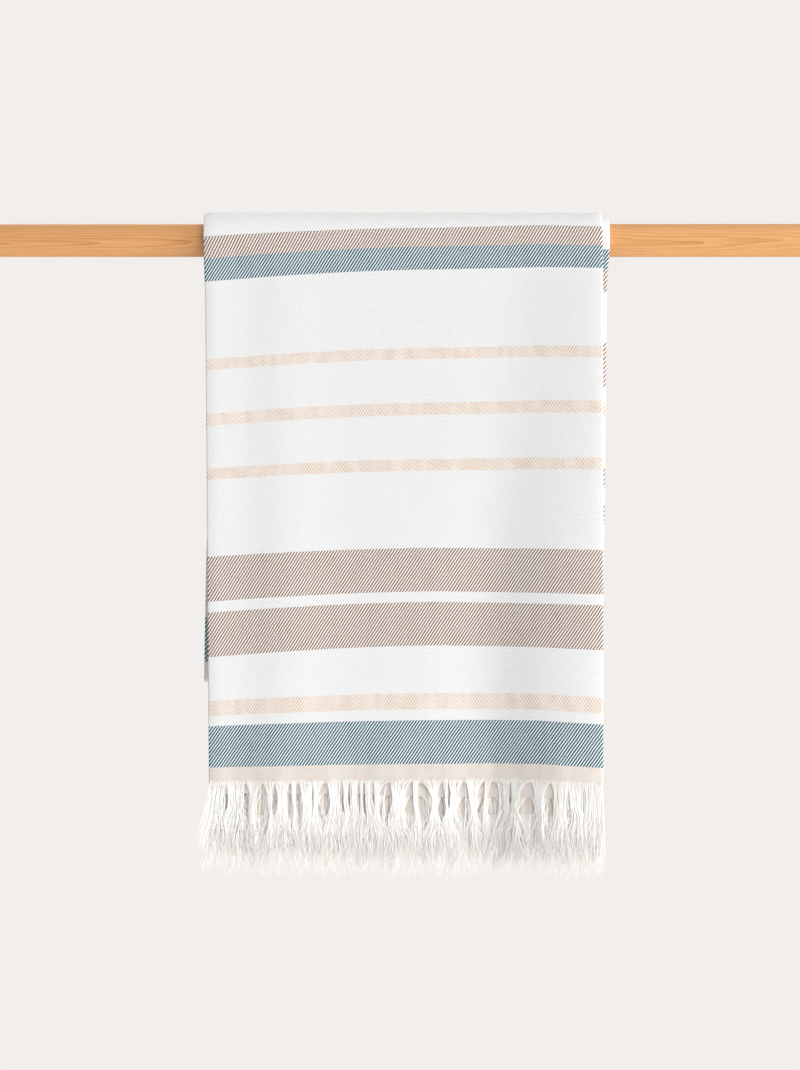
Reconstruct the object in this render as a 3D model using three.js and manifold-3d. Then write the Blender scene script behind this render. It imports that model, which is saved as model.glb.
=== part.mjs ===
import * as THREE from "three";
import { mergeVertices } from "three/addons/utils/BufferGeometryUtils.js";
import Module from "manifold-3d";

const wasm = await Module();
wasm.setup();

// Millimetres. The origin is on the rod's axis at the middle of the towel, Z is up, the side seen
// first faces -Y and X runs to its right. The towel is folded in three across its width, like a
// letter, then end to end, and that long fold hangs behind the rod while both fringed ends hang
// in front. So three layers of the outer half lie on three layers of the inner half.
const rodRadius = 14;
const rodLength = 900;
const rodBevel = 1.5;
const rodSides = 48;

const clothWall = 1.2;
const layerPitch = 1.6;
const rodClearance = 0.45;
const panelColumns = 13;
const freeEdgeSet = 1.5;
const tuckedEdgeSet = 0.4;
const letterTurn = { right: layerPitch, left: layerPitch / 2 };
const turnSteps = { right: 6, left: 4 };

// The surface where the two halves meet runs down the front, round the rod and down the back.
const meetingRadius = rodRadius + rodClearance + clothWall / 2 + 2.5 * layerPitch;
const rodTurnSteps = 12;
const endTurnSteps = 6;

const headerHeight = 15;
const seamGap = 0.3;
const outerHem = -461.6;
const innerHem = -488;
const backFold = -374;

// Where the folded strip's two edges lie, row by row from the rod down.
const outerFrontEdges = [
  { height: 0, left: -171.2, right: 167.1 },
  { height: -50, left: -169.6, right: 167.1 },
  { height: -220, left: -168.2, right: 167.1 },
  { height: -462, left: -166.4, right: 167.1 },
];
const outerBackEdges = [
  { height: 0, left: -171.2, right: 167.1 },
  { height: -150, left: -167.6, right: 168.5 },
  { height: -270, left: -170.4, right: 166.5 },
  { height: -374, left: -173.4, right: 162.4 },
];
const innerBackEdges = [
  { height: 0, left: -164.2, right: 173.6 },
  { height: -150, left: -166.4, right: 170.6 },
  { height: -270, left: -171.6, right: 167.4 },
  { height: -374, left: -173.4, right: 162.4 },
];
const innerFrontEdges = [
  { height: 0, left: -164.2, right: 173.6 },
  { height: -50, left: -164.8, right: 171.3 },
  { height: -220, left: -165.2, right: 169.2 },
  { height: -340, left: -165.3, right: 166.6 },
  { height: -488, left: -165.4, right: 165.6 },
];

// The soft upright folds: where the middle of each lies, how far it spreads to either side and how
// far it stands out from the flat at the bottom. They fade out toward the rod.
const frontFolds = [
  { middle: -138, spread: 34, out: -1.6 },
  { middle: -102, spread: 34, out: 1.4 },
  { middle: -50, spread: 48, out: -1.4 },
  { middle: 8, spread: 56, out: 1.6 },
  { middle: 64, spread: 62, out: -3.0 },
  { middle: 136, spread: 56, out: 5.0 },
];
const backFolds = [
  { middle: -126, spread: 52, out: 2.4 },
  { middle: -66, spread: 46, out: -1.8 },
  { middle: -4, spread: 60, out: 2.0 },
  { middle: 66, spread: 50, out: -2.2 },
  { middle: 124, spread: 44, out: 1.8 },
];
const foldFadeTop = -20;
const foldFadeBottom = -330;

// The hem dips a little at both ends, as the weft bows where the cloth pulls over the rod.
const hemDips = [
  { across: 0, drop: 2 },
  { across: 0.12, drop: 1.2 },
  { across: 0.35, drop: 0.4 },
  { across: 0.6, drop: 0 },
  { across: 0.9, drop: 0.3 },
  { across: 1, drop: 2.2 },
];

const frontHeights = [0, -45, -100, -160, -220, -280, -340, -400];
const backHeights = [0, -50, -115, -180, -245, -310];

// The fringe: locks of warp threads, wide where they leave the header, drawn together just below
// it, then hanging loose and slightly fanned.
const locksPerLayer = 26;
const lockThick = 0.9;
const lockRootDepth = 2.5;
const lockRings = [
  { along: 0.14, width: 0.5 },
  { along: 0.55, width: 0.58 },
  { along: 1, width: 0.42 },
];
const outerFringe = { length: 58, uneven: 5, lead: 4, spread: -0.55 };
const innerFringe = { length: 50, uneven: 5, lead: 2, spread: 0.55 };

// A value between -1 and 1 that differs from lock to lock and from layer to layer.
function unevenness(lock, layer) {
  return 0.6 * Math.sin(lock * 2.39 + layer * 1.7) + 0.4 * Math.sin(lock * 5.13 + layer * 3.1);
}

function between(table, key, value, at) {
  const rising = table[0][key] < table[table.length - 1][key];
  const rows = rising ? table : [...table].reverse();
  const last = rows.length - 1;
  if (at <= rows[0][key]) return rows[0][value];
  if (at >= rows[last][key]) return rows[last][value];
  const upper = rows.findIndex((row) => row[key] >= at);
  const lowRow = rows[upper - 1];
  const highRow = rows[upper];
  const part = (at - lowRow[key]) / (highRow[key] - lowRow[key]);
  return THREE.MathUtils.lerp(lowRow[value], highRow[value], part);
}

function foldDepth(folds, x, height) {
  const fade = THREE.MathUtils.smoothstep(-height, -foldFadeTop, -foldFadeBottom);
  let depth = 0;
  for (const fold of folds) {
    const reach = Math.abs(x - fold.middle) / fold.spread;
    if (reach < 1) depth += fold.out * Math.cos((reach * Math.PI) / 2) ** 2;
  }
  return depth * fade;
}

// One row across the folded strip: the middle line of its wall, with the direction across the
// wall, from the free edge round both letter folds to the other edge. 'off' is the distance from
// the surface where the halves meet.
function letterLine(left, right) {
  const rightTurn = right - letterTurn.right - clothWall / 2;
  const leftTurn = left + letterTurn.left + clothWall / 2;
  const line = [];
  const panel = (from, to, off, facing) => {
    for (let i = 0; i < panelColumns; i++) {
      const x = THREE.MathUtils.lerp(from, to, i / (panelColumns - 1));
      line.push({ x, off, acrossX: 0, acrossOff: facing });
    }
  };
  const turn = (middle, off, radius, from, steps) => {
    for (let i = 1; i < steps; i++) {
      const angle = from + (Math.PI * i) / steps;
      line.push({
        x: middle + radius * Math.cos(angle),
        off: off + radius * Math.sin(angle),
        acrossX: -Math.cos(angle),
        acrossOff: -Math.sin(angle),
      });
    }
  };
  panel(left + freeEdgeSet, rightTurn, 0.5 * layerPitch, 1);
  turn(rightTurn, 1.5 * layerPitch, letterTurn.right, -Math.PI / 2, turnSteps.right);
  panel(rightTurn, leftTurn, 2.5 * layerPitch, -1);
  turn(leftTurn, 2 * layerPitch, letterTurn.left, Math.PI / 2, turnSteps.left);
  panel(leftTurn, rightTurn - tuckedEdgeSet, 1.5 * layerPitch, 1);
  return line;
}

// Where each of the three panels starts in that line, from the meeting surface outward.
const outerPanel = panelColumns + turnSteps.right - 1;
const panelStarts = [0, outerPanel + panelColumns + turnSteps.left - 1, outerPanel];

// A station is one row of the cloth: the point where it crosses the meeting surface, the direction
// away from that surface, its two edges and the folds that shift it forward or back.
function station(height, depth, out, edges, edgeHeight, dip) {
  return {
    height,
    depth,
    out,
    dip,
    left: between(edges, "height", "left", edgeHeight),
    right: between(edges, "height", "right", edgeHeight),
  };
}

function placed(row, x, off) {
  const across = (x - row.left) / (row.right - row.left);
  const folds = row.depth < 0 ? frontFolds : backFolds;
  const side = row.depth < 0 ? -1 : 1;
  const shift = side * foldDepth(folds, x, row.height);
  const drop = row.dip * between(hemDips, "across", "drop", across);
  return new THREE.Vector3(
    x,
    row.depth + off * row.out.y + shift,
    row.height + off * row.out.z - drop,
  );
}

function middleLine(row) {
  return letterLine(row.left, row.right).map((point) => placed(row, point.x, point.off));
}

function wallRing(row) {
  const line = letterLine(row.left, row.right);
  const half = clothWall / 2;
  const side = (point, away) =>
    placed(row, point.x + away * point.acrossX, point.off + away * point.acrossOff);
  const near = line.map((point) => side(point, half));
  const far = line.map((point) => side(point, -half)).reverse();
  return [...near, ...far];
}

function closedMesh(points, faces) {
  let volume = 0;
  const cross = new THREE.Vector3();
  for (let i = 0; i < faces.length; i += 3) {
    cross.crossVectors(points[faces[i + 1]], points[faces[i + 2]]);
    volume += points[faces[i]].dot(cross);
  }
  if (volume < 0) faces.reverse();
  const geometry = new THREE.BufferGeometry();
  geometry.setAttribute("position", new THREE.Float32BufferAttribute(points.flatMap((p) => [p.x, p.y, p.z]), 3));
  geometry.setIndex(faces);
  return geometry;
}

function quad(faces, a, b, c, d) {
  faces.push(a, b, c, a, c, d);
}

// A wall swept through its rows, closed at the first and the last one.
function sweptWall(rows) {
  const rings = rows.map(wallRing);
  const count = rings[0].length;
  const faces = [];
  for (let r = 0; r + 1 < rings.length; r++) {
    for (let i = 0; i < count; i++) {
      const next = (i + 1) % count;
      quad(faces, r * count + i, r * count + next, (r + 1) * count + next, (r + 1) * count + i);
    }
  }
  const last = (rings.length - 1) * count;
  for (let i = 0; i + 1 < count / 2; i++) {
    const over = count - 1 - i;
    quad(faces, i, over, over - 1, i + 1);
    quad(faces, last + i, last + i + 1, last + over - 1, last + over);
  }
  return closedMesh(rings.flat(), faces);
}

function radial(angle, sign) {
  return { y: -Math.cos(angle) * sign, z: Math.sin(angle) * sign };
}

// The rows of one half over the rod, from its front to its back.
function rodTurn(edges, sign) {
  const rows = [];
  for (let i = 1; i < rodTurnSteps; i++) {
    const angle = (Math.PI * i) / rodTurnSteps;
    const height = meetingRadius * Math.sin(angle);
    const depth = -meetingRadius * Math.cos(angle);
    rows.push(station(height, depth, radial(angle, sign), edges, 0, 0));
  }
  return rows;
}

function frontRows(edges, lowest, sign) {
  const out = { y: -sign, z: 0 };
  const rows = frontHeights.map((height) =>
    station(height, -meetingRadius, out, edges, height, THREE.MathUtils.smoothstep(-height, 0, 440)));
  rows.push(station(lowest, -meetingRadius, out, edges, lowest, 1));
  return rows;
}

function backRows(edges, sign) {
  const out = { y: sign, z: 0 };
  return backHeights.map((height) => station(height, meetingRadius, out, edges, height, 0));
}

// The long fold at the bottom of the back, where the outer half turns into the inner half.
function endTurn() {
  const rows = [];
  for (let i = 0; i <= endTurnSteps; i++) {
    const angle = (Math.PI * i) / endTurnSteps;
    const out = { y: Math.cos(angle), z: -Math.sin(angle) };
    rows.push(station(backFold, meetingRadius, out, outerBackEdges, backFold, 0));
  }
  return rows;
}

function towelRows() {
  const outerFront = frontRows(outerFrontEdges, outerHem + headerHeight, 1).reverse();
  const innerFront = frontRows(innerFrontEdges, innerHem + headerHeight, -1);
  return [
    ...outerFront,
    ...rodTurn(outerFrontEdges, 1),
    ...backRows(outerBackEdges, 1),
    ...endTurn(),
    ...backRows(innerBackEdges, -1).reverse(),
    ...rodTurn(innerFrontEdges, -1).reverse(),
    ...innerFront,
  ];
}

function toSolid(geometry) {
  const bare = geometry.clone();
  bare.deleteAttribute("normal");
  bare.deleteAttribute("uv");
  const merged = mergeVertices(bare, 1e-4);
  const mesh = new wasm.Mesh({
    numProp: 3,
    vertProperties: new Float32Array(merged.getAttribute("position").array),
    triVerts: new Uint32Array(merged.index.array),
  });
  return new wasm.Manifold(mesh);
}

function toGeometry(solid) {
  const mesh = solid.getMesh();
  const geometry = new THREE.BufferGeometry();
  geometry.setAttribute("position", new THREE.Float32BufferAttribute(mesh.vertProperties, 3));
  geometry.setIndex(new THREE.Uint32BufferAttribute(mesh.triVerts, 1));
  return geometry;
}

// The point of a panel's middle line at x, for locks that hang in the line of their own layer.
function onPanel(line, first, x) {
  const start = line[first];
  const end = line[first + panelColumns - 1];
  const part = THREE.MathUtils.clamp((x - start.x) / (end.x - start.x), 0, 0.9999);
  const column = Math.floor(part * (panelColumns - 1));
  const step = part * (panelColumns - 1) - column;
  return new THREE.Vector3().lerpVectors(line[first + column], line[first + column + 1], step);
}

// One flat lock with four sides, from inside the header down to its loose end.
function lockGeometry(line, first, lock) {
  const rings = [{ down: -lockRootDepth, width: 1, along: 0 }];
  for (const ring of lockRings) rings.push({ ...ring, down: ring.along * lock.length });
  const points = [];
  for (const ring of rings) {
    const half = (ring.width * lock.width) / 2;
    const middle = lock.x + lock.lean * ring.along ** 1.5;
    for (const [sideX, sideY] of [[-1, -1], [1, -1], [1, 1], [-1, 1]]) {
      const x = middle + sideX * half;
      const on = onPanel(line, first, x);
      const y = on.y + (sideY * lockThick) / 2 + lock.lift * ring.along;
      points.push(new THREE.Vector3(x, y, on.z - ring.down));
    }
  }
  const faces = [];
  for (let r = 0; r + 1 < rings.length; r++) {
    for (let i = 0; i < 4; i++) {
      const next = (i + 1) % 4;
      quad(faces, r * 4 + i, r * 4 + next, r * 4 + 4 + next, r * 4 + 4 + i);
    }
  }
  const end = (rings.length - 1) * 4;
  quad(faces, 3, 2, 1, 0);
  quad(faces, end, end + 1, end + 2, end + 3);
  return closedMesh(points, faces);
}

// The plain-woven header strip of one end in its three layers, with the locks hanging from it.
function fringeEnd(edges, hem, sign, fringe) {
  const out = { y: -sign, z: 0 };
  const top = hem + headerHeight - seamGap;
  const topRow = station(top, -meetingRadius, out, edges, top, 1);
  const hemRow = station(hem, -meetingRadius, out, edges, hem, 1);
  const line = middleLine(hemRow);
  const parts = [toSolid(sweptWall([topRow, hemRow]))];
  const pitchAcross = (hemRow.right - hemRow.left - 4) / locksPerLayer;
  for (let layer = 0; layer < panelStarts.length; layer++) {
    for (let count = 0; count < locksPerLayer; count++) {
      const vary = unevenness(count, layer + (sign > 0 ? 0 : 4));
      const other = unevenness(count + 7, layer + 2);
      const x = hemRow.left + 2 + (count + 0.5 + 0.08 * vary) * pitchAcross;
      const lock = {
        x,
        width: pitchAcross * (0.74 + 0.06 * other),
        length: fringe.length + fringe.lead * 0.5 * layer + fringe.uneven * other,
        lean: 1.6 * vary - (count === 0 ? 5 : 0),
        lift: fringe.spread * layer,
      };
      parts.push(toSolid(lockGeometry(line, panelStarts[layer], lock)));
    }
  }
  return toGeometry(wasm.Manifold.union(parts));
}

function rodGeometry() {
  const half = rodLength / 2;
  const profile = [
    new THREE.Vector2(0, -half),
    new THREE.Vector2(rodRadius - rodBevel, -half),
    new THREE.Vector2(rodRadius, -half + rodBevel),
    new THREE.Vector2(rodRadius, half - rodBevel),
    new THREE.Vector2(rodRadius - rodBevel, half),
    new THREE.Vector2(0, half),
  ];
  return new THREE.LatheGeometry(profile, rodSides).rotateZ(-Math.PI / 2);
}

const group = new THREE.Group();

function add(name, geometry, color, roughness) {
  const material = new THREE.MeshStandardMaterial({ color, roughness, metalness: 0 });
  material.name = name;
  const mesh = new THREE.Mesh(geometry, material);
  mesh.name = name;
  group.add(mesh);
}

add("cloth", sweptWall(towelRows()), "#eeecea", 0.9);
add("outer_fringe", fringeEnd(outerFrontEdges, outerHem, 1, outerFringe), "#efebe4", 0.9);
add("inner_fringe", fringeEnd(innerFrontEdges, innerHem, -1, innerFringe), "#e9e1d8", 0.9);
add("rod", rodGeometry(), "#e5a86d", 0.5);

export default group;
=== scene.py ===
import math

import bpy
import numpy as np
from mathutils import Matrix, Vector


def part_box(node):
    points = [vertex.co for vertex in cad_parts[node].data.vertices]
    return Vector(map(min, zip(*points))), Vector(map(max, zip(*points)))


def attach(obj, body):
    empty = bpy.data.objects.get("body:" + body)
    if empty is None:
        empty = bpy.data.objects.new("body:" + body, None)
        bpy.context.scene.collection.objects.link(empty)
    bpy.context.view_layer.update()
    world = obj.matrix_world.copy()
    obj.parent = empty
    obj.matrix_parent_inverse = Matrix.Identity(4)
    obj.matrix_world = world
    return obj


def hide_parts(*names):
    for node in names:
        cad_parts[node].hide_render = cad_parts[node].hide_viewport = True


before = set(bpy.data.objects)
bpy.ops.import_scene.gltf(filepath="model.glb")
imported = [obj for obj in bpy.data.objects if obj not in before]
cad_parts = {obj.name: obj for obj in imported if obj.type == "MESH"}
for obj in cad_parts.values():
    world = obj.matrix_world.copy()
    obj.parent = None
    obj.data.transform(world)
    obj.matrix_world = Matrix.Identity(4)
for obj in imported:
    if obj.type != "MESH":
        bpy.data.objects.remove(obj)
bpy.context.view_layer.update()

mm = 0.001


def hexToLinear(hexText, alpha=1.0):
    parts = [int(hexText[i:i + 2], 16) / 255 for i in (1, 3, 5)]
    linear = [c / 12.92 if c <= 0.04045 else ((c + 0.055) / 1.055) ** 2.4 for c in parts]
    return (*linear, alpha)


def addNode(tree, kind, inputs=None, out=0, **settings):     # returns the new node's socket called out
    node = tree.nodes.new(kind)
    for name, value in settings.items():
        setattr(node, name, value)
    for name, value in (inputs or {}).items():
        if isinstance(value, bpy.types.NodeSocket):
            tree.links.new(value, node.inputs[name])
        else:
            node.inputs[name].default_value = value
    return node.outputs[out] if node.outputs else None


def calculate(tree, operation, *values):
    return addNode(tree, "ShaderNodeMath", dict(enumerate(values)), operation=operation)


def mixColors(tree, share, first, second, **settings):     # sockets 6 and 7 take its two colours
    return addNode(tree, "ShaderNodeMix", {"Factor": share, 6: first, 7: second}, out=2, data_type="RGBA",
                   **settings)


def startMaterial(name):
    material = bpy.data.materials.new(name)
    material.use_nodes = True
    material.node_tree.nodes.clear()
    return material, material.node_tree


def lookUp(table, at, column=1):
    rows = sorted(table)
    return np.interp(at, [row[0] for row in rows], [row[column] for row in rows])


def ease(share):
    return share ** 2 * (3 - 2 * share)


def finishPiece(piece, node, material):
    piece.data.materials.clear()
    piece.data.materials.append(material)
    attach(piece, "root")
    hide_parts(node)


# The cut: one length of cotton, folded in three across its width. Sizes in millimetres.
towel = {
    "width": 1000.0,
    "panelWidth": 336.0,        # near enough to count its points and share out the width
    "wall": 1.1,
    "frameWall": 1.2,           # the thickness that the frame's solid has
    "layerPitch": 1.6,
    "rodGap": 0.45,             # the air between the rod and the frame's innermost layer
    "columnStep": 9.0,          # between points across a panel
    "rowStep": 8.0,             # between points down a hanging panel
    "turnSteps": {"outerTurn": 2.6, "innerTurn": 2.6, "foldTurn": 0.8},
    "freeEdgeSet": 1.5,         # how far in from the left edge the outermost panel ends
    "tuckedEdgeSet": 0.4,       # how far in from its fold the tucked panel ends
    "rightTurnSteps": 8,
    "leftTurnSteps": 6,
    "header": 16.2,
    # how far the tucked panel slips down, beside its fold and at its free edge, and the shares of its width
    # at which it hasn't slipped, has slipped so far, still has, and has slipped the rest
    "tuckedSag": (9.0, 12.5),
    "sagAcross": (0, 0.1, 0.4, 0.6),
}

# How it hangs, from the rod's axis, where the frame's solids lie
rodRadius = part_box("rod")[1].z / mm
hang = {
    # how far out the outer and the inner half meet, with three layers outside and three inside
    "meeting": rodRadius + towel["rodGap"] + towel["frameWall"] / 2 + 2.5 * towel["layerPitch"],
    "outerHem": -461.6,
    "innerHem": -488.0,
    "backFold": -374.0,
    "foldLength": 8.0,          # cloth taken up by the turn at the bottom of the back
}

edges = {   # (height, left edge, right edge)
    "outerFront": [(0, -171.2, 167.1), (-50, -169.6, 167.1), (-220, -168.2, 167.1), (-462, -166.4, 167.1)],
    "outerBack": [(0, -171.2, 167.1), (-150, -167.6, 168.5), (-270, -170.4, 166.5), (-374, -173.4, 162.4)],
    "innerBack": [(0, -164.2, 173.6), (-150, -166.4, 170.6), (-270, -171.6, 167.4), (-374, -173.4, 162.4)],
    "innerFront": [(0, -164.2, 173.6), (-14, -164.3, 173.2), (-26, -164.5, 171.5), (-50, -164.8, 170.6),
                   (-220, -165.2, 168.8), (-340, -165.3, 166.6), (-488, -165.4, 165.6)],
}

# Soft upright folds, which drift and grow on their way down: where the middle is, how far it spreads and
# how far it stands out, each (above, below), and the heights between which it changes
foldsFadeIn = 40.0      # below the rod
frontFolds = [
    ((-139, -138), (34, 34), (-0.8, -1.0), (-20, -330)), ((-98, -102), (36, 34), (0.4, 0.8), (-20, -330)),
    ((-52, -50), (48, 44), (0, -0.9), (-20, -330)), ((20, 16), (80, 84), (0, -0.8), (-20, -400)),
    ((80, 66), (44, 52), (-0.2, -2.6), (-20, -400)), ((168, 149), (82, 84), (4.2, 8.0), (-20, -400)),
    # only in the last few centimetres above the fringe
    ((-116, -116), (32, 32), (0, 1.4), (-400, -452)), ((-76, -76), (22, 22), (0, 1.0), (-405, -452)),
    ((-8, -8), (40, 40), (0, 1.3), (-400, -452)), ((34, 34), (20, 20), (0, 1.2), (-410, -455)),
    ((76, 76), (20, 20), (0, -1.2), (-410, -455)), ((126, 126), (24, 24), (0, 1.2), (-400, -452)),
]
backFolds = [
    ((-126, -126), (52, 52), (0, 2.4), (-20, -330)), ((-66, -66), (46, 46), (0, -1.8), (-60, -330)),
    ((-4, -4), (60, 60), (0, 2.0), (-20, -300)), ((66, 66), (50, 50), (0, -2.2), (-40, -330)),
    ((124, 124), (44, 44), (0, 1.8), (-20, -360)),
]

# How far the weft hangs below level, from the rod down: (height, at the left edge, at the first place to
# the right, at the right edge). It is level a little right of the middle.
weftSag = {
    "levelAt": 29.0,
    "leftAt": -171.0,
    "leftCurve": 1.65,          # more than 1, so it steepens toward the left edge
    "rightAt": (114.0, 168.0),
    "innerShare": -0.3,         # the inner half hangs the other way, and less
    "levelBehind": 300.0,       # how far down behind the rod it comes level
    "drops": [
        (7, 6.3, -2.1, -1.0), (-8, 10.6, -1.9, -0.8), (-107, 10.2, -1.8, -1.3), (-153, 9.6, -1.9, -1.5),
        (-199, 8.2, -1.1, -0.7), (-263, 7.8, 0.6, 1.8), (-304, 9.4, 1.3, 2.6), (-345, 10.5, 1.3, 3.9),
        (-393, 6.4, 0, 3.4), (-445, 3.4, -0.4, 3.0), (-462, 1.7, -0.3, 2.0),
    ],
}

bands = {   # (weft, from, to)
    "outer": [      # up from the outer hem
        ("teal", 16.2, 53.1), ("sand", 62.3, 76), ("taupe", 116.4, 153.2), ("taupe", 162.2, 198.9),
        ("sand", 264.3, 274.2), ("sand", 311.5, 321.9), ("sand", 358.8, 368.2), ("teal", 434.5, 453.9),
        ("taupe", 453.9, 468.5),
    ],
    "back": [       # up from the fold, on the outside behind the rod
        ("teal", 13.3, 51.5), ("sand", 60, 73.7), ("taupe", 114, 151), ("taupe", 160, 196.5),
        ("sand", 262, 272), ("sand", 309, 319), ("sand", 356, 366),
    ],
    "between": [    # up from the fold, on the side that faces the rod
        ("teal", 13.3, 51.5), ("sand", 60, 73.7), ("taupe", 114, 151), ("taupe", 160, 196.5),
        ("sand", 262, 272),
    ],
    "inner": [      # up from the inner hem
        ("teal", 16.2, 53.6), ("sand", 62.3, 76), ("taupe", 116.4, 153.2), ("taupe", 162.2, 198.9),
        ("taupe", 245.5, 262.5), ("taupe", 276, 293), ("sand", 335.6, 351), ("taupe", 361, 398.5),
        ("taupe", 441.5, 460.3), ("teal", 460.3, 477.9),
    ],
}
# (weft, warp over it, which takes on a little of the weft's colour, how unevenly the weft is dyed)
yarns = {
    # the white weft is painted greyer than its warp: painted shade where the weft floats lie lower
    "white": ("#E2E2E3", "#F3F3F3", 0.1),
    "header": ("#D0C0B2", "#EDE8E4", 0.4),
    "innerHeader": ("#F0DCCA", "#FFFCF8", 0.4),     # the other end, painted paler: painted light on the header that the threads in front shade
    "teal": ("#0A4051", "#ECF9FC", 0.04),
    "taupe": ("#886E62", "#FFF9F4", 0.04),
    "sand": ("#D6BFAD", "#F7F0EA", 0.38),
}

rodTurn = math.pi * hang["meeting"]
path = [
    ("outerFront", -hang["outerHem"]), ("outerTurn", rodTurn), ("outerBack", -hang["backFold"]),
    ("foldTurn", hang["foldLength"]),
    ("innerBack", -hang["backFold"]), ("innerTurn", rodTurn), ("innerFront", -hang["innerHem"]),
]
pathStarts = np.concatenate([[0], np.cumsum([length for _, length in path])])
foldStart, foldEnd = pathStarts[3:5]
clothLength = pathStarts[-1]


# Where cloth that far from the outer hem crosses the surface where the halves meet, and which way its
# outside faces there
def followPath(along):
    place = {key: np.zeros_like(along) for key in ("y", "z", "outY", "outZ", "left", "right")}
    meeting = hang["meeting"]
    for number, (name, length) in enumerate(path):
        start = pathStarts[number]
        here = (along >= start) & (along < start + length)
        if number == 0:
            here |= along < 0
        if number == len(path) - 1:
            here |= along >= start
        run = along[here] - start
        height = np.zeros_like(run)
        if name.endswith("Turn"):
            angle = math.pi * run / length
            if name == "innerTurn":
                angle = math.pi - angle
            sign = 1 if name == "outerTurn" else -1
            y, z = -meeting * np.cos(angle), meeting * np.sin(angle)
            outY, outZ = -sign * np.cos(angle), sign * np.sin(angle)
            if name == "foldTurn":
                y, z = np.full_like(run, meeting), np.full_like(run, hang["backFold"])
                outY, outZ = np.cos(angle), -np.sin(angle)
                height = z
            table = edges["outerBack" if name == "foldTurn" else name.replace("Turn", "Front")]
        else:
            front = name.endswith("Front")
            y = np.full_like(run, -meeting if front else meeting)
            z = {"outerFront": hang["outerHem"] + run, "outerBack": -run,
                 "innerBack": hang["backFold"] + run, "innerFront": -run}[name]
            outY = np.full_like(run, -1.0 if name in ("outerFront", "innerBack") else 1.0)
            outZ = np.zeros_like(run)
            height, table = z, edges[name]
        place["y"][here], place["z"][here] = y, z
        place["outY"][here], place["outZ"][here] = outY, outZ
        place["left"][here], place["right"][here] = lookUp(table, height, 1), lookUp(table, height, 2)
    return place


# The columns of points from the free outer edge to the tucked one, each with its share of the way to the
# right edge, its shift from there, its distance off the path and its sag
def letterColumns():
    pitch = towel["layerPitch"]
    rightTurn = -(pitch + towel["frameWall"] / 2)
    leftTurn = pitch / 2 + towel["frameWall"] / 2
    count = round(towel["panelWidth"] / towel["columnStep"])
    columns, panels = [], []

    def panel(fromEdge, fromShift, toEdge, toShift, off, sags=(0, 0)):
        panels.append(len(columns))
        for i in range(count + 1):
            part = i / count
            edge = fromEdge * (1 - part) + toEdge * part
            shift = fromShift * (1 - part) + toShift * part
            sag = np.interp(part, towel["sagAcross"], [0, sags[0], sags[0], sags[1]])
            columns.append((edge, shift, off, sag))

    def turn(edge, shift, off, radius, start, steps):
        for i in range(1, steps):
            angle = start + math.pi * i / steps
            columns.append((edge, shift + radius * math.cos(angle), off + radius * math.sin(angle), 0))

    panel(0, towel["freeEdgeSet"], 1, rightTurn, 0.5 * pitch)
    turn(1, rightTurn, 1.5 * pitch, pitch, -math.pi / 2, towel["rightTurnSteps"])
    panel(1, rightTurn, 0, leftTurn, 2.5 * pitch)
    turn(0, leftTurn, 2 * pitch, pitch / 2, math.pi / 2, towel["leftTurnSteps"])
    panel(0, leftTurn, 1, rightTurn - towel["tuckedEdgeSet"], 1.5 * pitch, towel["tuckedSag"])
    table = np.array(columns)
    flat = table[:, 0] * towel["panelWidth"] + table[:, 1]
    along = np.concatenate([[0], np.cumsum(np.hypot(np.diff(flat), np.diff(table[:, 2])))])
    return table, along / along[-1] * towel["width"], panels, count


def bandEdges():
    spans = [("header", 0, towel["header"]), ("innerHeader", clothLength - towel["header"], clothLength)]
    spans += [(weft, low, high) for weft, low, high in bands["outer"]]
    spans += [(weft, foldStart - high, foldStart - low) for weft, low, high in bands["back"]]
    spans += [(weft, foldEnd + low, foldEnd + high) for weft, low, high in bands["between"]]
    spans += [(weft, clothLength - high, clothLength - low) for weft, low, high in bands["inner"]]
    return spans


def clothRows(spans):
    breaks = sorted(set(pathStarts) | {edge for _, low, high in spans for edge in (low, high)})
    rows = [breaks[0]]
    for low, high in zip(breaks, breaks[1:]):
        name = path[np.searchsorted(pathStarts, (low + high) / 2) - 1][0]
        step = towel["turnSteps"].get(name, towel["rowStep"])
        rows += list(np.linspace(low, high, math.ceil((high - low) / step) + 1)[1:])
    return np.array(rows)


def foldDepth(folds, x, height):
    depth = np.zeros_like(x)
    for *shape, (start, full) in folds:
        down = ease(np.clip((start - height) / (start - full), 0, 1))
        middle, spread, out = (above + (below - above) * down for above, below in shape)
        reach = np.clip(np.abs(x - middle) / spread, 0, 1)
        depth += out * np.cos(reach * math.pi / 2) ** 2
    return depth * ease(np.clip(-height / foldsFadeIn, 0, 1))


def dropOf(x, height):      # how far the weft hangs below level there
    left, inner, outer = (lookUp(weftSag["drops"], height, column) for column in (1, 2, 3))
    innerAt, outerAt = weftSag["rightAt"]
    toLeft = np.clip((weftSag["levelAt"] - x) / (weftSag["levelAt"] - weftSag["leftAt"]), 0, 1)
    toInner = np.clip((x - weftSag["levelAt"]) / (innerAt - weftSag["levelAt"]), 0, 1)
    toOuter = np.clip((x - innerAt) / (outerAt - innerAt), 0, 1)
    return left * toLeft ** weftSag["leftCurve"] + inner * toInner + (outer - inner) * toOuter


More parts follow.
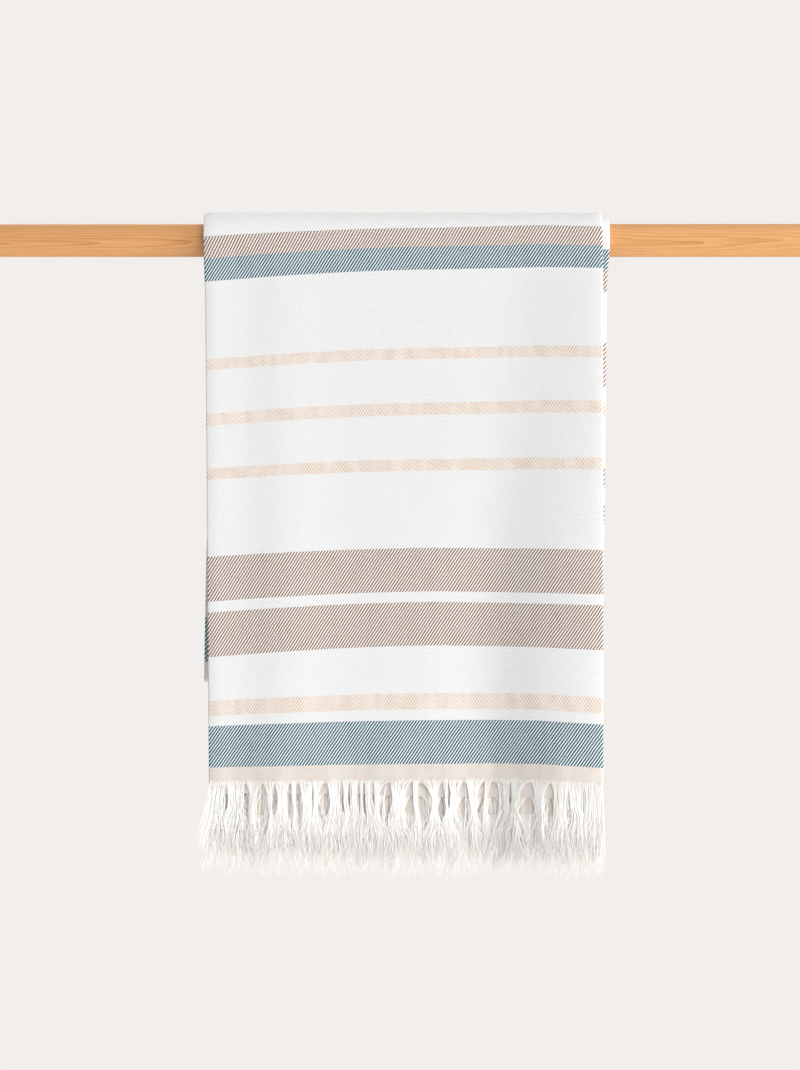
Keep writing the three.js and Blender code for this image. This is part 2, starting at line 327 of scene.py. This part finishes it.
def hangPoints(rows, table):
    shape = (len(rows), len(table))
    along = np.broadcast_to(rows[:, None], shape).copy()
    share, shift, off, sag = (np.broadcast_to(table[:, i], shape) for i in range(4))
    flat = followPath(along)
    outerHalf = along < foldStart
    x = flat["left"] + share * (flat["right"] - flat["left"]) + shift
    slant = np.where(outerHalf, 1.0, weftSag["innerShare"])
    slant *= np.where(flat["y"] > 0, np.clip(1 + flat["z"] / weftSag["levelBehind"], 0, 1), 1)
    slip = np.where(outerHalf & (flat["y"] < 0), sag * np.clip(flat["z"] / hang["outerHem"], 0, 1), 0)
    along -= slant * dropOf(x, flat["z"]) + slip
    hung = followPath(along)
    x = hung["left"] + share * (hung["right"] - hung["left"]) + shift
    inFront, behind = foldDepth(frontFolds, x, hung["z"]), foldDepth(backFolds, x, hung["z"])
    depth = np.where(hung["y"] < 0, -inFront, behind)
    y = hung["y"] + off * hung["outY"] + depth
    z = hung["z"] + off * hung["outZ"]
    return np.stack([x, y, z], axis=-1) * mm


def makeCloth():
    table, across, panels, count = letterColumns()
    spans = bandEdges()
    rows = clothRows(spans)
    bpy.ops.mesh.primitive_grid_add(x_subdivisions=len(table) - 1, y_subdivisions=len(rows) - 1, size=1)
    cloth = bpy.context.object
    cloth.name = cloth.data.name = "woven_cloth"
    points = hangPoints(rows, table)
    mesh = cloth.data
    mesh.vertices.foreach_set("co", points.reshape(-1).astype(np.float32))

    corners = np.zeros(len(mesh.loops), np.int32)
    mesh.loops.foreach_get("vertex_index", corners)
    row, column = corners // len(table), corners % len(table)
    cut = np.stack([across[column] * mm, rows[row] * mm], axis=-1)
    mesh.uv_layers[0].name = "cut"
    mesh.uv_layers["cut"].data.foreach_set("uv", cut.reshape(-1).astype(np.float32))

    lowest = row.reshape(-1, 4).min(axis=1)
    middle = (rows[lowest] + rows[lowest + 1]) / 2
    for kind, name in enumerate(("weft", "warp")):
        color = np.tile(hexToLinear(yarns["white"][kind], yarns["white"][2]), (len(middle), 1))
        for band, low, high in spans:
            color[(middle > low) & (middle < high)] = hexToLinear(yarns[band][kind], yarns[band][2])
        layer = mesh.color_attributes.new(name, "FLOAT_COLOR", "CORNER")
        layer.data.foreach_set("color", np.repeat(color, 4, axis=0).reshape(-1).astype(np.float32))

    solid = cloth.modifiers.new("wall", "SOLIDIFY")
    solid.thickness, solid.offset = towel["wall"] * mm, 0
    bpy.ops.object.modifier_apply(modifier=solid.name)
    bpy.ops.object.shade_smooth_by_angle(angle=math.radians(50))
    hems = {"outer": points[0], "inner": points[-1]}
    print("woven cloth:", len(rows), "rows,", len(table), "columns,", len(mesh.polygons), "faces")
    return cloth, hems, panels, count


# Cotton twill, two over and two under: white warp up and down, coloured weft in bands. The yarns
# are matt and slightly hairy, and each line of floats stands a little proud of the next.
weave = {
    "warpPitch": 0.645 * mm,
    "weftPitch": 0.955 * mm,
    "weftFloat": 2.3,           # in yarns: the soft weft swells over a little more than its two
    "wander": 0.9,              # in yarns: how far the lines of the weave stray
    "yarnShade": 0.16,          # painted shade: darker between the yarns
    "slub": 0.08,
    "bump": 0.12 * mm,
    "dabs": 110.0,              # light and dark dabs about 9 mm long
}


def makeClothMaterial():
    material, tree = startMaterial("cotton_twill")
    cut = addNode(tree, "ShaderNodeUVMap", uv_map="cut")
    u = addNode(tree, "ShaderNodeSeparateXYZ", {0: cut})
    v = u.node.outputs["Y"]

    # which crossing of warp and weft a point is in, with the yarns a little uneven
    wander = addNode(tree, "ShaderNodeTexNoise", {"Vector": cut, "Scale": 70.0, "Detail": 2.0})
    drift = calculate(tree, "MULTIPLY_ADD", wander, weave["wander"], -weave["wander"] / 2)
    warpAt = calculate(tree, "MULTIPLY_ADD", u, 1 / weave["warpPitch"], drift)
    weftAt = calculate(tree, "MULTIPLY_ADD", v, 1 / weave["weftPitch"], drift)
    warpCount = calculate(tree, "FLOOR", warpAt)
    weftCount = calculate(tree, "FLOOR", weftAt)
    inTwo = calculate(tree, "FLOORED_MODULO", calculate(tree, "ADD", warpCount, weftCount), 2.0)
    inFour = calculate(tree, "FLOORED_MODULO", calculate(tree, "ADD", warpCount, weftAt), 4.0)
    twill = calculate(tree, "LESS_THAN", inFour, weave["weftFloat"])
    plain = calculate(tree, "LESS_THAN", inTwo, 0.5)
    outerHeader = calculate(tree, "LESS_THAN", v, towel["header"] * mm)
    innerHeader = calculate(tree, "GREATER_THAN", v, (clothLength - towel["header"]) * mm)
    header = calculate(tree, "MAXIMUM", outerHeader, innerHeader)
    weftUp = addNode(tree, "ShaderNodeMix", {"Factor": header, "A": twill, "B": plain})

    # each yarn is round: highest along its middle
    rounds = []
    for at in (warpAt, weftAt):
        side = calculate(tree, "SUBTRACT", calculate(tree, "FRACT", at), 0.5)
        square = calculate(tree, "MULTIPLY", side, side)
        rounds.append(calculate(tree, "MULTIPLY_ADD", square, -4.0, 1.0))
    height = addNode(tree, "ShaderNodeMix", {"Factor": weftUp, "A": rounds[0], "B": rounds[1]})

    # coloured weft is dyed unevenly, so it fades and deepens along each band
    weft = addNode(tree, "ShaderNodeAttribute", attribute_name="weft")
    uneven = weft.node.outputs["Alpha"]
    warp = addNode(tree, "ShaderNodeAttribute", attribute_name="warp")
    dabs = addNode(tree, "ShaderNodeMapping", {"Vector": cut, "Scale": (1.0, 0.35, 1.0)})
    dabs = addNode(tree, "ShaderNodeTexNoise", {"Vector": dabs, "Scale": weave["dabs"], "Detail": 2.0})
    dabs = addNode(tree, "ShaderNodeMapRange", {"Value": dabs, "From Min": 0.38, "From Max": 0.62})
    weft = mixColors(tree, calculate(tree, "MULTIPLY", dabs, uneven), weft, warp)
    woven = mixColors(tree, weftUp, warp, weft)
    slub = addNode(tree, "ShaderNodeTexNoise", {"Vector": cut, "Scale": 900.0, "Detail": 1.0})
    slub = calculate(tree, "MULTIPLY_ADD", slub, weave["slub"], 1 - weave["slub"] / 2)
    # painted shade: each yarn darker toward its sides, times the slub's uneven tone
    shade = calculate(tree, "MULTIPLY_ADD", height, weave["yarnShade"], 1 - weave["yarnShade"])
    shade = calculate(tree, "MULTIPLY", shade, slub)
    color = mixColors(tree, 1.0, woven, shade, blend_type="MULTIPLY")
    bump = addNode(tree, "ShaderNodeBump", {"Height": height, "Strength": 0.6, "Distance": weave["bump"]})
    shader = addNode(tree, "ShaderNodeBsdfPrincipled", {
        "Base Color": color, "Normal": bump, "Roughness": 0.88, "IOR": 1.5, "Specular IOR Level": 0.15,
        "Sheen Weight": 0.05, "Sheen Roughness": 0.5})
    addNode(tree, "ShaderNodeOutputMaterial", {"Surface": shader})
    return material


# The fringe: warp ends left loose. In front they draw together and part, so the headers behind show. Each
# row is one parting: its peak at the hem and its left and right side where it is widest, in millimetres
# across from the middle, then how far below the hem it starts, is widest and has closed again.
partings = [
    (-151, -152.5, -149.5, 3, 14, 30), (-135.3, -138.8, -131.6, 0, 10, 34),
    (-121, -129.5, -114.6, 1, 24, 58), (-110.4, -113.4, -107.9, 1, 13, 28), (-97, -102, -95.4, 0, 20, 44),
    (-91.5, -93.8, -86, 0, 22, 44), (-78, -79.6, -77.4, 3, 14, 30), (-67.3, -75.7, -63.9, 0, 14, 38),
    (-53.7, -55.5, -52, 0, 10, 26), (-47.8, -49, -46.5, 1, 10, 22), (-39.3, -41, -38, 0, 12, 30),
    (-35, -37, -33, 0, 15, 34), (-27.5, -29, -26, 0, 10, 26), (-14, -24.5, -11, 0, 14, 38),
    (6, -3, 7.2, 0, 20, 44), (12.3, 9, 24, 0, 17, 42), (31.3, 25.5, 33.7, 0, 20, 38),
    (35.8, 35.5, 38.5, 0, 10, 24), (50.3, 40.6, 54.8, 0, 22, 54), (68, 58.4, 66.5, 0, 19, 44),
    (74, 69, 84, 0, 15, 42), (88.4, 87.5, 90, 0, 12, 24), (105.3, 92.6, 110.6, 0, 18, 50),
    (123, 114.8, 126, 0, 18, 50), (137.5, 135.6, 139.6, 8, 26, 42), (150, 149, 151, 4, 18, 34),
]
# The small ones, all along: how far each side parts, how far below the hem it starts, and how far below
# that it is widest and has closed
finePartings = {"side": (0.2, 0.6), "start": (1, 8), "widest": 12, "shut": (20, 36)}
fringe = {
    "threadRadius": 0.25,
    "rootRadius": 0.15,         # still twisted tight where it leaves the hem
    "tipRadius": 0.06,
    "twisted": 12.0,            # over this length
    "overhang": (0.6, 1.4),     # past the hem's left and right end
    "steps": [-1.5, 1.5, 5, 9, 14, 21, 29, 38, 48, 57, 64],     # down a thread 64 mm long
    "fixedSteps": 9.0,          # from here on the steps stretch with the thread
    # how long a thread is and how far out its end swings, by where it hangs
    "lengths": [(-170, 50), (-158, 58), (-90, 58), (-64, 64), (-10, 62), (60, 60), (106, 60), (135, 64),
                (168, 63)],
    "flare": [(-170, -13), (-160, -7), (-150, -2), (-140, 0), (157, 0), (169, 2.5)],
    "flareLength": 46.0,
    "innerLength": 50.0,
    "longest": 1.1,             # as a share of that length, and how much shorter the shortest is
    "shorter": 0.5,
    "lockWidth": 8.0,           # threads this close drift, bend and end together
    "lockDrift": 5.0,
    "lockEnds": (-5, 3),
    "sway": 2.2,                # of a whole lock, and its wave
    "swayLength": 34.0,
    "swing": (0.2, 0.9),        # of a single thread, and its wave
    "swingLength": (18, 36),
    "calmEdge": 12.0,           # beside the edges threads stray less
    "drawnBy": 14.0,            # the locks are drawn together by here, and loose below
    "pushedBy": 28.0,           # by here a thread has swung all the way off the hem
    "depth": (0.1, 0.2),        # half the thickness of a layer of threads, at the hem and what it gains
    "lift": (0, 3),             # in front some start a little up the header
    "turn": 0.15,               # in radians, how far a thread's flat side turns from the front
    "front": {"parted": 1.0, "fine": 3.4, "stray": 0.10, "loose": 2.0},
    "behind": {"parted": 1.0, "fine": 4.5, "stray": 0.12, "loose": 3.0},
    "inner": {"parted": 0.2, "fine": 5.0, "stray": 0.20, "loose": 2.5},
}


def partThreads(root, down, table):     # where each thread is across, that far below the hem
    peak, left, right, start, widest, shut = np.array(table).T

    def side(which, at):
        opens = (down - start[at]) / (widest - start)[at]
        closes = (shut[at] - down) / (shut - widest)[at]
        opening = np.clip(np.minimum(opens, closes), 0, 1) ** 0.5
        return peak[at] + (which - peak)[at] * opening

    after = np.searchsorted(peak, root)
    share = (root - peak[after - 1]) / (peak[after] - peak[after - 1])
    return (1 - share) * side(right, after - 1) + share * side(left, after)


def placePartings(low, high, way, chance):      # the large ones and the small ones
    past = 6        # a shut one this far off each end closes the row
    ends = [(edge, edge, edge, 0, 1, 2) for edge in (low - past, high + past)]
    large, small = list(ends), list(ends)
    for peak, left, right, *heights in partings:
        sides = [peak + (side - peak) * way["parted"] for side in (left, right)]
        large.append((peak, *sides, *heights))
    places = np.arange(low, high, way["fine"]) + chance.uniform(-1, 1)
    starts = chance.uniform(*finePartings["start"], len(places))
    for place, start in zip(places, starts):
        left = place - chance.uniform(*finePartings["side"])
        right = place + chance.uniform(*finePartings["side"])
        shut = start + chance.uniform(*finePartings["shut"])
        small.append((place, left, right, start, start + finePartings["widest"], shut))
    return sorted(large), sorted(small)


# The threads' middle lines and thickness. lengths is one length, or None for those by place. push is how
# far they swing off the hem and onFace how far off it they start, both minus toward the front.
def hangThreads(count, hemLine, lengths, push, onFace, way, chance):
    hemX, hemY, hemZ = (hemLine[np.argsort(hemLine[:, 0])] / mm).T
    low, high = hemX[0] - fringe["overhang"][0], hemX[-1] + fringe["overhang"][1]
    root = low + (high - low) * (np.arange(count) + chance.uniform(0.1, 0.9, count)) / count
    root = np.clip(root, low, high)
    large, small = placePartings(low, high, way, chance)

    reach = lookUp(fringe["lengths"], root) if lengths is None else lengths
    reach = reach * (fringe["longest"] - fringe["shorter"] * chance.random(count) ** 1.1)
    follows = np.where(chance.random(count) < way["stray"], chance.uniform(0, 0.8, count), 1)
    locks = np.arange(low - 10, high + 20, fringe["lockWidth"])
    drift = np.interp(root, locks, chance.uniform(-fringe["lockDrift"], fringe["lockDrift"], len(locks)))
    sway = np.interp(root, locks, chance.uniform(0, 2 * math.pi, len(locks)))
    reach = reach + np.interp(root, locks, chance.uniform(*fringe["lockEnds"], len(locks)))
    atEdge = np.clip((high - root) / fringe["calmEdge"], 0.1, 1)
    atEdge = atEdge * np.clip((root - low) / fringe["calmEdge"], 0.3, 1)
    swing, phase = chance.uniform(*fringe["swing"], count), chance.uniform(0, 2 * math.pi, count)
    wave, astray = chance.uniform(*fringe["swingLength"], count), chance.normal(0, 1, count)
    deep = chance.uniform(-1, 1, count)
    lift = chance.uniform(*fringe["lift"], count) * (onFace < 0)
    flare = lookUp(fringe["flare"], root)
    lines = []
    for step in fringe["steps"]:
        fixed, last = fringe["fixedSteps"], fringe["steps"][-1]
        down = step if step <= fixed else fixed + (step - fixed) * (reach - fixed) / (last - fixed)
        drawn = np.clip(down / fringe["drawnBy"], 0, 1)
        loose = np.clip((down - fringe["drawnBy"]) / (reach - fringe["drawnBy"]), 0, 1)
        x = root + (partThreads(partThreads(root, down, small), down, large) - root) * follows
        x += atEdge * (drift * loose + way["loose"] * astray * loose ** 1.5)
        x += atEdge * swing * (0.3 * drawn + loose) * np.sin(phase + down / wave * 2 * math.pi)
        bend = np.sin(sway + down / fringe["swayLength"] * 2 * math.pi)
        x += atEdge * fringe["sway"] * loose ** 0.7 * bend
        x += flare * np.clip(down / fringe["flareLength"], 0, 1.2) ** 1.3
        y = np.interp(root, hemX, hemY) + onFace * (1 - drawn)
        y = y + push * np.clip(down / fringe["pushedBy"], 0, 1)
        y += deep * (fringe["depth"][0] + fringe["depth"][1] * drawn)
        z = np.interp(root, hemX, hemZ) - down + lift * (1 - drawn)
        radius = np.interp(down, [0, fringe["twisted"]], [fringe["rootRadius"], fringe["threadRadius"]])
        radius -= np.clip(2 * loose - 1, 0, 1) * (fringe["threadRadius"] - fringe["tipRadius"])
        lines.append(np.stack([x, y, z, radius], axis=-1))
    return np.stack(lines, axis=1)


def makeFringe(name, layers, seed):     # three-sided threads: at this width more sides don't show
    chance = np.random.default_rng(seed)
    lines = np.concatenate([hangThreads(*layer, chance) for layer in layers]) * mm
    count, steps = lines.shape[:2]
    turned = chance.uniform(-fringe["turn"], fringe["turn"], count)
    around = turned[:, None] + np.radians([-150, -30, 90])
    ring = np.stack([np.cos(around), np.sin(around), np.zeros_like(around)], axis=-1)
    points = lines[:, :, None, :3] + ring[:, None] * lines[:, :, None, 3:]
    corner = np.arange(count * steps * 3).reshape(count, steps, 3)
    beside = np.roll(corner, -1, axis=2)
    sides = np.stack([corner[:, :-1], corner[:, 1:], beside[:, 1:], beside[:, :-1]], axis=-1)
    sides = sides.reshape(-1, 4)
    ends = np.concatenate([corner[:, 0], corner[:, -1, ::-1]])
    mesh = bpy.data.meshes.new(name)
    mesh.from_pydata(points.reshape(-1, 3).tolist(), [], sides.tolist() + ends.tolist())
    piece = bpy.data.objects.new(name, mesh)
    bpy.context.collection.objects.link(piece)
    print(name + ":", count, "threads,", len(mesh.polygons), "faces")
    return piece


# Loose warp ends: undyed and bleached cotton yarn, two-ply, soft and matt, so it looks nearly white
# where it is lit and warm where locks shade each other. Toward the tips it is painted a little greyer:
# painted shade, darker toward the bottom of the fringe.
yarnTones = {
    "duller": "#FCFAF6",
    "brighter": "#FFFEFC",
    # painted shade toward the tips
    "tip": "#F4F2EE",
    "tipFrom": -490 * mm,
    "tipTo": -530 * mm,
    "plies": 0.15 * mm,
}


def makeThreadMaterial():
    material, tree = startMaterial("cotton_yarn")
    place = addNode(tree, "ShaderNodeTexCoord", out="Object")
    streaks = addNode(tree, "ShaderNodeMapping", {"Vector": place, "Scale": (1.0, 1.0, 0.06)})
    tone = addNode(tree, "ShaderNodeTexNoise", {"Vector": streaks, "Scale": 420.0, "Detail": 2.0})
    tone = addNode(tree, "ShaderNodeMapRange", {"Value": tone, "From Min": 0.35, "From Max": 0.65})
    color = mixColors(tree, tone, hexToLinear(yarnTones["duller"]), hexToLinear(yarnTones["brighter"]))
    height = addNode(tree, "ShaderNodeSeparateXYZ", {0: place}, out=2)
    # painted shade: greyer toward the tips, from tipFrom down to tipTo
    toTip = addNode(tree, "ShaderNodeMapRange", {
        "Value": height, "From Min": yarnTones["tipFrom"], "From Max": yarnTones["tipTo"]})
    color = mixColors(tree, toTip, color, hexToLinear(yarnTones["tip"]))
    plies = addNode(tree, "ShaderNodeTexNoise", {"Vector": place, "Scale": 2500.0, "Detail": 1.0})
    bump = addNode(tree, "ShaderNodeBump", {
        "Height": plies, "Strength": 0.4, "Distance": yarnTones["plies"]})
    shader = addNode(tree, "ShaderNodeBsdfPrincipled", {
        "Base Color": color, "Normal": bump, "Roughness": 0.85, "IOR": 1.5, "Specular IOR Level": 0.2,
        "Sheen Weight": 0.3, "Sheen Roughness": 0.4})
    addNode(tree, "ShaderNodeOutputMaterial", {"Surface": shader})
    return material


# The rod
dowel = {
    "radius": rodRadius * mm,
    "length": 2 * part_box("rod")[1].x,
    "sides": 96,
    "bevel": 1.5 * mm,
}


def makeRod():
    bpy.ops.object.select_all(action="DESELECT")
    bpy.ops.mesh.primitive_cylinder_add(
        vertices=dowel["sides"], radius=dowel["radius"], depth=dowel["length"],
        rotation=(0, math.pi / 2, 0))
    rod = bpy.context.object
    rod.name = rod.data.name = "rod_dowel"
    bpy.ops.object.transform_apply(location=True, rotation=True, scale=True)
    mesh = rod.data
    bpy.ops.object.mode_set(mode="EDIT")
    bpy.ops.mesh.select_mode(type="EDGE")
    bpy.ops.mesh.select_all(action="DESELECT")
    bpy.ops.object.mode_set(mode="OBJECT")
    for edge in mesh.edges:     # those round an end, not along the rod
        ends = [mesh.vertices[i].co.x for i in edge.vertices]
        edge.select = abs(ends[0] - ends[1]) < dowel["radius"]
    bpy.ops.object.mode_set(mode="EDIT")
    bpy.ops.mesh.bevel(offset=dowel["bevel"], segments=3, affect="EDGES")
    bpy.ops.object.mode_set(mode="OBJECT")
    bpy.ops.object.shade_smooth_by_angle(angle=math.radians(35))
    print("rod:", len(mesh.polygons), "faces")
    return rod


# A turned beech dowel, sanded and waxed: fine straight grain, with rings that run out in long arches
# where the turning cuts across them, satin and warm
grain = {
    "early": "#E3AA70",
    "late": "#C38244",
    "ringPitch": 2.2 * mm,
    "lean": 0.032,              # how far the rings climb along the dowel
    "heartFront": 26 * mm,      # the heart of the tree lay this far in front of the dowel's middle
    "heartBelow": 5 * mm,
    "waver": 4.0,               # in rings
    "fibre": 0.35 * mm,
    "fibreRelief": 0.1 * mm,
}


def makeWoodMaterial():
    material, tree = startMaterial("beech_dowel")
    place = addNode(tree, "ShaderNodeTexCoord", out="Object")
    x = addNode(tree, "ShaderNodeSeparateXYZ", {0: place})
    y, z = x.node.outputs["Y"], x.node.outputs["Z"]
    long = addNode(tree, "ShaderNodeMapping", {"Vector": place, "Scale": (0.12, 1.0, 1.0)})
    bend = addNode(tree, "ShaderNodeTexNoise", {"Vector": long, "Scale": 55.0, "Detail": 3.0})
    fromHeart = calculate(tree, "MULTIPLY_ADD", x, grain["lean"], grain["heartFront"])
    heartY = calculate(tree, "ADD", y, fromHeart)
    heartZ = calculate(tree, "ADD", z, grain["heartBelow"])
    heart = addNode(tree, "ShaderNodeCombineXYZ", {"Y": heartY, "Z": heartZ})
    away = addNode(tree, "ShaderNodeVectorMath", {0: heart}, out="Value", operation="LENGTH")
    away = calculate(tree, "MULTIPLY", away, 1 / grain["ringPitch"])
    ring = calculate(tree, "FRACT", calculate(tree, "MULTIPLY_ADD", bend, grain["waver"], away))
    late = calculate(tree, "POWER", ring, 2.5)
    fine = addNode(tree, "ShaderNodeMapping", {"Vector": place, "Scale": (0.02, 1.0, 1.0)})
    fibre = addNode(tree, "ShaderNodeTexNoise", {
        "Vector": fine, "Scale": 1 / grain["fibre"] / 2, "Detail": 3.0})
    tone = calculate(tree, "MULTIPLY_ADD", late, 0.5, fibre)
    tone = addNode(tree, "ShaderNodeMapRange", {"Value": tone, "From Min": 0.35, "From Max": 1.15})
    color = mixColors(tree, tone, hexToLinear(grain["early"]), hexToLinear(grain["late"]))
    rough = addNode(tree, "ShaderNodeMapRange", {"Value": fibre, "To Min": 0.42, "To Max": 0.6})
    bump = addNode(tree, "ShaderNodeBump", {
        "Height": fibre, "Strength": 0.25, "Distance": grain["fibreRelief"]})
    shader = addNode(tree, "ShaderNodeBsdfPrincipled", {
        "Base Color": color, "Normal": bump, "Roughness": rough, "IOR": 1.5, "Specular IOR Level": 0.35})
    addNode(tree, "ShaderNodeOutputMaterial", {"Surface": shader})
    return material


# The camera looks straight at the front, level, as the photograph does
studio = {
    "cameraFar": 2.2,
    "aim": (-4.6 * mm, -251.8 * mm),    # the middle of the picture, across and up
    "clothPlane": -24 * mm,
    "frameTall": 905 * mm,              # what the picture's height covers at the cloth
    "wall": "#F1EEEB",
    "ambient": 0.32,
    "lights": {     # the way to each light, how wide it is in degrees, and its power
        "window_light": ((0.95, -0.31, -0.02), 26, 2.2),
        "high_light": ((0.29, -0.41, 0.87), 60, 1.4),
        "front_light": ((0.5, -0.87, -0.05), 60, 1.0),
        "low_light": ((0.29, -0.41, -0.87), 60, 1.0),
        "back_light": ((-0.5, 1.0, 0.35), 60, 2.2),
    },
    "floorDown": -1.35,
    "floorSize": 3.6,
}


def makeStudio():
    camera = bpy.data.objects.new("camera", bpy.data.cameras.new("camera"))
    bpy.context.collection.objects.link(camera)
    camera.location = (studio["aim"][0], studio["clothPlane"] - studio["cameraFar"], studio["aim"][1])
    camera.rotation_euler = (math.pi / 2, 0, 0)
    camera.data.lens = camera.data.sensor_width * studio["cameraFar"] / studio["frameTall"]
    camera.data.clip_end = 50
    bpy.context.scene.camera = camera

    for name, (toLight, wide, power) in studio["lights"].items():
        light = bpy.data.objects.new(name, bpy.data.lights.new(name, "SUN"))
        bpy.context.collection.objects.link(light)
        light.data.energy, light.data.angle = power, math.radians(wide)
        light.location = toLight
        light.rotation_euler = (-light.location).to_track_quat("-Z", "Y").to_euler()

    world = bpy.data.worlds.new("pale_room")
    bpy.context.scene.world = world
    world.use_nodes = True
    tree = world.node_tree
    tree.nodes.clear()
    seen = addNode(tree, "ShaderNodeBackground", {"Color": hexToLinear(studio["wall"]), "Strength": 1.0})
    glow = addNode(tree, "ShaderNodeBackground", {"Color": (1, 1, 1, 1), "Strength": studio["ambient"]})
    ray = addNode(tree, "ShaderNodeLightPath", out="Is Camera Ray")
    mix = addNode(tree, "ShaderNodeMixShader", {0: ray, 1: glow, 2: seen})
    addNode(tree, "ShaderNodeOutputWorld", {"Surface": mix})
    bpy.context.scene.view_settings.view_transform = "Standard"

    bpy.ops.mesh.primitive_plane_add(size=studio["floorSize"], location=(0, 0, studio["floorDown"]))
    floor = bpy.context.object
    floor.name = "floor"
    material, tree = startMaterial("pale_floor")
    shader = addNode(tree, "ShaderNodeBsdfPrincipled", {
        "Base Color": hexToLinear(studio["wall"]), "Roughness": 0.9})
    addNode(tree, "ShaderNodeOutputMaterial", {"Surface": shader})
    floor.data.materials.append(material)
    floor.visible_shadow = False        # the low light shines up through it
    print("camera, light and floor are set")


bpy.ops.object.select_all(action="DESELECT")
makeStudio()

cloth, hems, panels, count = makeCloth()
finishPiece(cloth, "cloth", makeClothMaterial())


def panelHem(half, panel):
    return hems[half][panels[panel]:panels[panel] + count + 1]


# Each layer: how many threads, from which hem, their length, how far they swing off the hem and how far
# off it they start, both minus toward the front, and how they part
outerLayers = [
    (900, panelHem("outer", 1), None, -0.6, -0.75, fringe["front"]),
    (900, panelHem("outer", 2), None, -1.6, 0, fringe["behind"]),
    (900, panelHem("outer", 0), None, -2.7, 0, fringe["behind"]),
]
innerLayers = [
    (1000, panelHem("inner", 0), fringe["innerLength"], -3.6, 0, fringe["inner"]),
    (740, panelHem("inner", 2), fringe["innerLength"], -4.0, 0, fringe["inner"]),
    (740, panelHem("inner", 1), fringe["innerLength"], -4.4, 0, fringe["inner"]),
]

yarn = makeThreadMaterial()
outerThreads = makeFringe("outer_threads", outerLayers, 11)
innerThreads = makeFringe("inner_threads", innerLayers, 23)
finishPiece(outerThreads, "outer_fringe", yarn)
finishPiece(innerThreads, "inner_fringe", yarn)

rod = makeRod()
finishPiece(rod, "rod", makeWoodMaterial())
